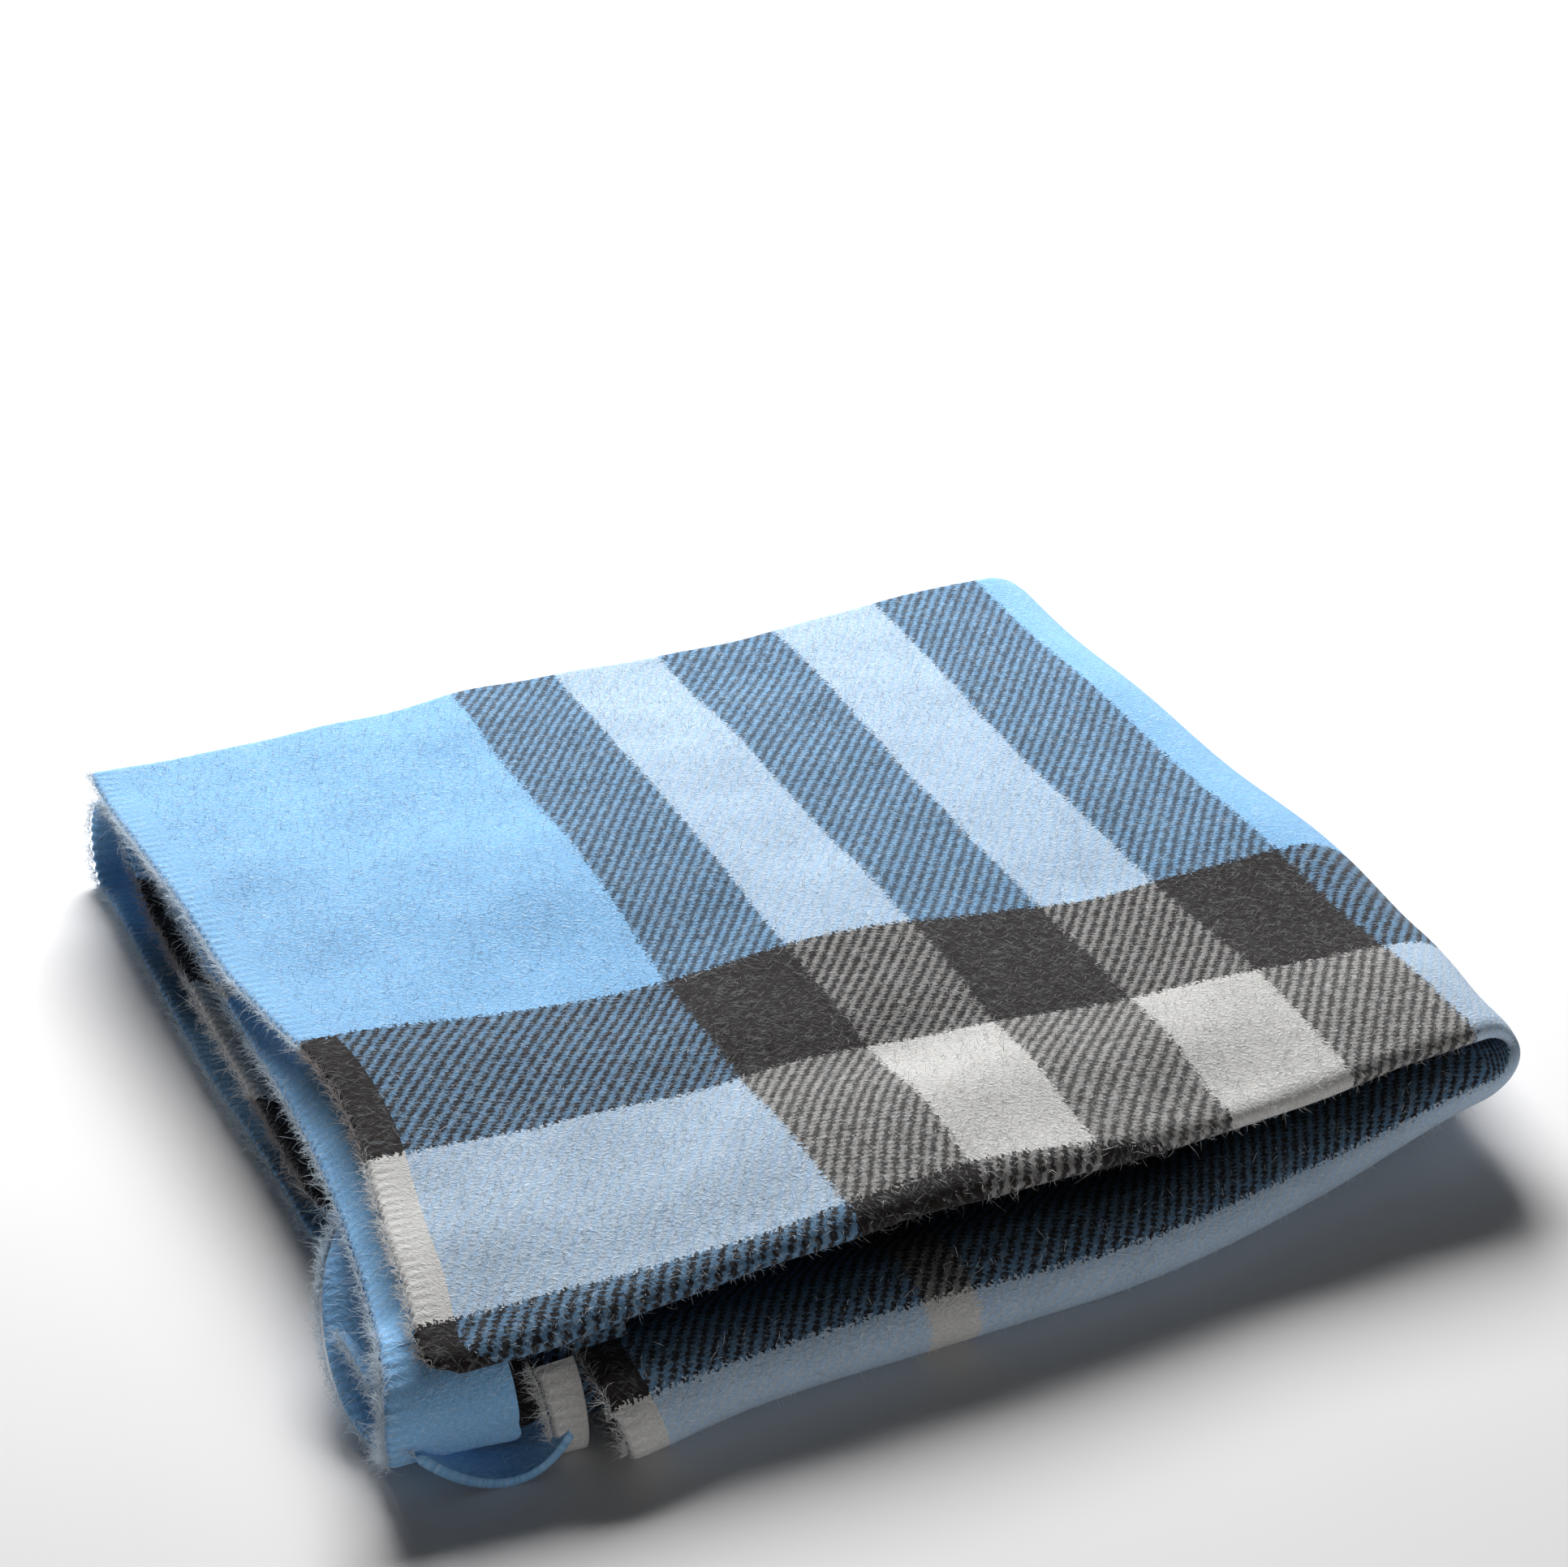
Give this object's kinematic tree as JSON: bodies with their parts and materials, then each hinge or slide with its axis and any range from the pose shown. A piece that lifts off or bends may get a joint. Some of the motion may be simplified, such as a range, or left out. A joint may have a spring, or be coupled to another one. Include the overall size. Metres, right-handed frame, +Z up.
{
  "type": "folded throw blanket",
  "caption": "Brushed wool twill throw in a blue, charcoal and off-white tartan, folded flat, its upper half opening about the side fold.",
  "frame": {"origin": "centre of the footprint, on the surface that the folded throw lies on", "axes": "+Z up through the stack, +X towards the side fold, +Y towards the back folds"},
  "size_m": [0.362, 0.346, 0.044],
  "materials": {
    "brushed_tartan": "brushed and milled wool in a two-and-two twill, with a short raised nap",
    "ribbed_selvedge": "tucked-in wool selvedge with a weft rib across it",
    "turned_hem": "single turned and stitched wool hem"
  },
  "bodies": {
    "lower_half": {"bottom_back_fold": "brushed_tartan", "bottom_back_fold_selvedge": "ribbed_selvedge", "bottom_flap_hem": "turned_hem", "bottom_flap_leaf": "brushed_tartan", "bottom_flap_leaf_selvedge": "ribbed_selvedge", "bottom_front_fold": "brushed_tartan", "bottom_front_fold_selvedge": "ribbed_selvedge", "bottom_leaf": "brushed_tartan", "bottom_leaf_selvedge": "ribbed_selvedge", "bottom_tucked_hem": "turned_hem", "bottom_tucked_leaf": "brushed_tartan", "bottom_tucked_leaf_selvedge": "ribbed_selvedge", "side_fold_back_corner": "brushed_tartan", "side_fold_front_corner": "brushed_tartan", "side_fold_inner": "brushed_tartan", "side_fold_middle": "brushed_tartan", "side_fold_outer": "brushed_tartan"},
    "upper_half": {"loose_corner": "brushed_tartan", "top_back_fold": "brushed_tartan", "top_back_fold_selvedge": "ribbed_selvedge", "top_flap_hem": "turned_hem", "top_flap_leaf": "brushed_tartan", "top_flap_leaf_selvedge": "ribbed_selvedge", "top_front_fold": "brushed_tartan", "top_front_fold_selvedge": "ribbed_selvedge", "top_leaf": "brushed_tartan", "top_leaf_selvedge": "ribbed_selvedge", "top_tucked_hem": "turned_hem", "top_tucked_leaf": "brushed_tartan", "top_tucked_leaf_selvedge": "ribbed_selvedge"}
  },
  "joints": [
    {"name": "side_fold", "type": "hinge", "parent": "lower_half", "child": "upper_half", "pos_m": [0.159, 0, 0.022], "axis": [0, 1, 0], "range_deg": [0, 178], "deforming": ["side_fold_back_corner", "side_fold_front_corner", "side_fold_inner", "side_fold_middle", "side_fold_outer"]}
  ]
}
